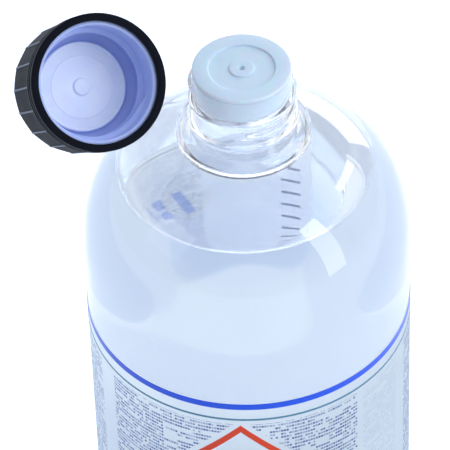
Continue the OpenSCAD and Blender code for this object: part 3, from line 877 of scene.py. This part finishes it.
for step in np.linspace(0, 1, 9):
    shell_line.append((SHELL_R - 0.3 + (SHELL_TOP_R - SHELL_R + 0.3) * step,
                       BAND_H + 0.3 + (SHELL_H - 1.5 - BAND_H - 0.3) * step))
side_end = len(shell_line)
shell_line += arc(SHELL_TOP_R - 1.5, SHELL_H - 1.5, 1.5, 10, 90, 7)
shell_line += [(12, SHELL_H), (6, SHELL_H), (0, SHELL_H), (0, SHELL_CEILING_Z)]
shell_line += [(8, SHELL_CEILING_Z), (SHELL_IN_R - 0.5, SHELL_CEILING_Z)]
shell_line += [(SHELL_IN_R, SHELL_CEILING_Z - 0.5), (SHELL_IN_R, 8), (SHELL_IN_R, CATCH_H + 0.2),
               (CATCH_R + 0.1, CATCH_H), (CATCH_R, CATCH_H - 0.15), (CATCH_R, 0.35)]

# The side is flat between the ribs: each column sinks from the round towards the flat
shell_lift = np.zeros((len(shell_line), SHELL_COLUMNS))
FLATNESS = 0.7
half_flat = math.pi / RIB_COUNT
off_middle = (np.arange(SHELL_COLUMNS) * 2 * math.pi / SHELL_COLUMNS) % (2 * half_flat) - half_flat
flat = FLATNESS * (math.cos(half_flat) / np.cos(off_middle) - 1)
for row in range(side_first, side_end):
    shell_lift[row] = shell_line[row][0] * flat * min(1, row - side_first)
upper = SHELL_TOP_R * flat
for row in range(side_end, side_end + 5):
    shell_lift[row] = upper * (1 - (row - side_end) / 5)


def black_plastic(name, deep, pale, smooth, rough):
    """Blue-black polypropylene with a fine spark-eroded grain, between two colours and finishes."""
    made, tree = material(name)
    place = node(tree, "ShaderNodeTexCoord").outputs["Object"]
    cloud = node(tree, "ShaderNodeTexNoise", {
        "Vector": place, "Scale": 1 / (4 * MM), "Detail": 4})
    colour = node(tree, "ShaderNodeMix", {
        "Factor": cloud.outputs["Fac"], 6: linear(deep), 7: linear(pale)}, data_type="RGBA")
    finish = node(tree, "ShaderNodeMapRange", {
        "Value": cloud.outputs["Fac"], "To Min": smooth, "To Max": rough})
    grain = node(tree, "ShaderNodeTexNoise", {
        "Vector": place, "Scale": 1 / (0.25 * MM), "Detail": 2})
    bump = node(tree, "ShaderNodeBump", {
        "Height": grain.outputs["Fac"], "Strength": 0.6, "Distance": 0.02 * MM})
    moulded = node(tree, "ShaderNodeBsdfPrincipled", {
        "Base Color": colour.outputs[2], "Roughness": finish.outputs[0], "IOR": 1.49,
        "Specular IOR Level": 0.08, "Normal": bump.outputs["Normal"]})
    node(tree, "ShaderNodeOutputMaterial", {"Surface": moulded.outputs[0]})
    return made


# The sunk flats stay matt and dark. The crests of the ribs are painted paler and given a smoother
# finish, as a painted highlight where they catch the light.
black_pp = black_plastic("moulded_black_pp", "#07090F", "#0F131C", 0.5, 0.68)
rib_highlight_pp = black_plastic("black_pp_painted_rib_highlight", "#4A5468", "#667086", 0.35, 0.45)

shell_points, shell_faces, _ = turned(shell_line, SHELL_COLUMNS, shell_lift)
outer_shell = piece("outer_shell_grip", "outer_shell", shell_points, shell_faces,
                    [black_pp], crease=40, place=held_cap)
rib_section = ((SHELL_R - 0.8, BAND_H - 0.1), (SHELL_R - 0.05, BAND_H - 0.1),
               (SHELL_R, BAND_H + 0.1), (SHELL_TOP_R + RIB_H, SHELL_H - 2.2),
               (SHELL_TOP_R + 0.1, SHELL_H - 1.4), (SHELL_TOP_R - 0.8, SHELL_H - 1.0))
rib_points = [(r, y, z) for y in (-RIB_W / 2, RIB_W / 2) for r, z in rib_section]
for i in (2, 3):                 # the crest is narrower than the foot
    for j, side_y in ((i, -0.2), (i + 6, 0.2)):
        rib_points[j] = (rib_points[j][0], side_y, rib_points[j][2])
rib_faces = [tuple(range(6)), tuple(range(11, 5, -1))]
rib_faces += [(i, (i + 1) % 6, (i + 1) % 6 + 6, i + 6) for i in range(6)]
# The ribs carry the paler colour, a painted highlight
joined(outer_shell, repeated(rib_points, rib_faces, RIB_COUNT, 2 * half_flat, 0.0, rib_highlight_pp))

# The shell's lugs point down, and each stands midway between two of the inner cap's
shell_lugs = repeated(
    *block(LUG_IN_R, LUG_OUT_R, -LUG_W / 2, LUG_W / 2, SHELL_CEILING_Z - LUG_H, SHELL_CEILING_Z + 0.1),
    LUG_COUNT, 2 * math.pi / LUG_COUNT, 0.0, black_pp)
shell_lugs.transform(Matrix.Rotation(math.pi / LUG_COUNT, 4, "Z"))
joined(outer_shell, shell_lugs)
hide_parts("outer_shell")

# Studio: a matt white floor that runs back out of view under a soft white sky, with weak soft
# lamps on both sides and behind. Seen rays find the floor white, and it keeps shadows.
FLOOR_SIZE = 6
FLOOR_GLOW = 0.6
floor_mesh = bpy.data.meshes.new("studio_floor")
floor_mesh.from_pydata([(x * FLOOR_SIZE, y * FLOOR_SIZE, -0.0002)
                        for x, y in ((-1, -1), (1, -1), (1, 1), (-1, 1))], [], [(0, 1, 2, 3)])
floor = bpy.data.objects.new("studio_floor", floor_mesh)
bpy.context.scene.collection.objects.link(floor)
paper, paper_tree = material("matt_white_paper")
seen = node(paper_tree, "ShaderNodeLightPath").outputs
seen_any = node(paper_tree, "ShaderNodeMath", {
    0: seen["Is Camera Ray"], 1: seen["Is Glossy Ray"]}, operation="MAXIMUM")
seen_any = node(paper_tree, "ShaderNodeMath", {
    0: seen_any.outputs[0], 1: seen["Is Transmission Ray"]}, operation="MAXIMUM")
seen_any = node(paper_tree, "ShaderNodeMath", {
    0: seen_any.outputs[0], 1: seen["Is Diffuse Ray"]}, operation="SUBTRACT", use_clamp=True)
lifted = node(paper_tree, "ShaderNodeMath", {0: seen_any.outputs[0], 1: FLOOR_GLOW},
              operation="MULTIPLY")
matt = node(paper_tree, "ShaderNodeBsdfDiffuse", {"Color": linear("#F0F1F2")})
glow = node(paper_tree, "ShaderNodeEmission", {
    "Color": linear("#B4CCF4"), "Strength": lifted.outputs[0]})
both = node(paper_tree, "ShaderNodeAddShader", {0: matt.outputs[0], 1: glow.outputs[0]})
node(paper_tree, "ShaderNodeOutputMaterial", {"Surface": both.outputs[0]})
floor_mesh.materials.append(paper)

# The sky is white for the camera. What glass and gloss find in it is white low down and turns
# to the dim blue of a studio ceiling overhead. Its own light is soft, and stronger on the right.
DIM_TOWARDS = (0, -0.5, 0.87)
SKY_LIGHT = 0.64
WINDOW_LIGHT = 2.2
WINDOW_POWER = 6
WINDOW_TOWARDS = (0.68, -0.18, 0.71)
world = bpy.data.worlds.new("studio_sky")
world.use_nodes = True
sky = world.node_tree
sky.nodes.clear()
dimness = node(sky, "ShaderNodeVectorMath", {
    0: node(sky, "ShaderNodeTexCoord").outputs["Generated"], 1: DIM_TOWARDS},
    operation="DOT_PRODUCT")
ceiling = node(sky, "ShaderNodeValToRGB", {0: dimness.outputs["Value"]})
ceiling.color_ramp.elements[0].position = 0.35
ceiling.color_ramp.elements[0].color = (1, 1, 1, 1)
ceiling.color_ramp.elements[1].position = 0.7
ceiling.color_ramp.elements[1].color = linear("#3C78DC")
rays = node(sky, "ShaderNodeLightPath").outputs
through_or_off = node(sky, "ShaderNodeMath", {
    0: rays["Is Glossy Ray"], 1: rays["Is Transmission Ray"]}, operation="MAXIMUM")
through_or_off = node(sky, "ShaderNodeMath", {
    0: through_or_off.outputs[0], 1: rays["Is Diffuse Ray"]}, operation="SUBTRACT", use_clamp=True)
window = node(sky, "ShaderNodeVectorMath", {
    0: node(sky, "ShaderNodeTexCoord").outputs["Generated"], 1: WINDOW_TOWARDS},
    operation="DOT_PRODUCT")
window = node(sky, "ShaderNodeMath", {0: window.outputs["Value"], 1: 0.0}, operation="MAXIMUM")
window = node(sky, "ShaderNodeMath", {0: window.outputs[0], 1: WINDOW_POWER}, operation="POWER")
level = node(sky, "ShaderNodeMath", {0: window.outputs[0], 1: WINDOW_LIGHT, 2: SKY_LIGHT},
             operation="MULTIPLY_ADD")
soft = node(sky, "ShaderNodeBackground", {
    "Color": linear("#F6F9FF"), "Strength": level.outputs[0]})
plain = node(sky, "ShaderNodeBackground", {"Color": (1, 1, 1, 1), "Strength": 1})
above_all = node(sky, "ShaderNodeBackground", {"Color": ceiling.outputs[0], "Strength": 1})
mixed_sky = node(sky, "ShaderNodeMixShader", {
    0: through_or_off.outputs[0], 1: soft.outputs[0], 2: above_all.outputs[0]})
mixed_sky = node(sky, "ShaderNodeMixShader", {
    0: rays["Is Camera Ray"], 1: mixed_sky.outputs[0], 2: plain.outputs[0]})
node(sky, "ShaderNodeOutputWorld", {"Surface": mixed_sky.outputs[0]})
bpy.context.scene.world = world

AIM = Vector((0, 0, 0.19))
for name, azimuth, elevation, tilt, distance, width, height, power in (
        ("tall_softbox_right", 60, 21, 0, 1.2, 0.32, 1.1, 3),
        ("strip_light_right", 115, 30, -35, 1.2, 0.5, 0.12, 0.5),
        ("soft_lamp_left", -65, 30, 0, 1.4, 0.7, 0.7, 1),
        ("wide_softbox_behind", 165, 7, 0, 1.3, 1.3, 0.5, 6)):
    lamp = bpy.data.lights.new(name, "AREA")
    lamp.shape, lamp.size, lamp.size_y, lamp.energy = "RECTANGLE", width, height, power
    stand = bpy.data.objects.new(name, lamp)
    side, rise = math.radians(azimuth), math.radians(elevation)
    stand.location = AIM + distance * Vector((
        math.cos(rise) * math.sin(side), -math.cos(rise) * math.cos(side), math.sin(rise)))
    stand.rotation_mode = "QUATERNION"
    stand.rotation_quaternion = ((AIM - stand.location).to_track_quat("-Z", "Y")
                                 @ Quaternion((0, 0, 1), math.radians(tilt)))
    bpy.context.scene.collection.objects.link(stand)

# Camera: a long lens from the front and above, rolled a little as the photograph was
VIEW_PX = 450
FOCAL_PX = 4053
DISC_PX = (241.6, 67.2)
ROLL = 1.82
disc = Vector((0, 0, (BOTTLE_H + FLANGE_T) * MM))
camera_data = bpy.data.cameras.new("photo_camera")
camera_data.sensor_width = 36
camera_data.lens = FOCAL_PX / VIEW_PX * camera_data.sensor_width
camera = bpy.data.objects.new("photo_camera", camera_data)
camera.location = (0, -0.74343, 0.90935)
off_axis = Vector(((DISC_PX[0] - VIEW_PX / 2) / FOCAL_PX, (VIEW_PX / 2 - DISC_PX[1]) / FOCAL_PX, -1))
camera.rotation_mode = "QUATERNION"
camera.rotation_quaternion = (
    (disc - camera.location).to_track_quat("-Z", "Y")
    @ Quaternion((0, 0, 1), math.radians(-ROLL))
    @ off_axis.rotation_difference(Vector((0, 0, -1))))
bpy.context.scene.collection.objects.link(camera)
bpy.context.scene.camera = camera
bpy.context.scene.view_settings.view_transform = "Standard"

# Clear walls, threads and liquid lie one behind another, so light needs long paths through them
LONGEST_PATH = 32
paths = bpy.context.scene.cycles
paths.max_bounces = paths.transmission_bounces = LONGEST_PATH
paths.transparent_max_bounces = LONGEST_PATH
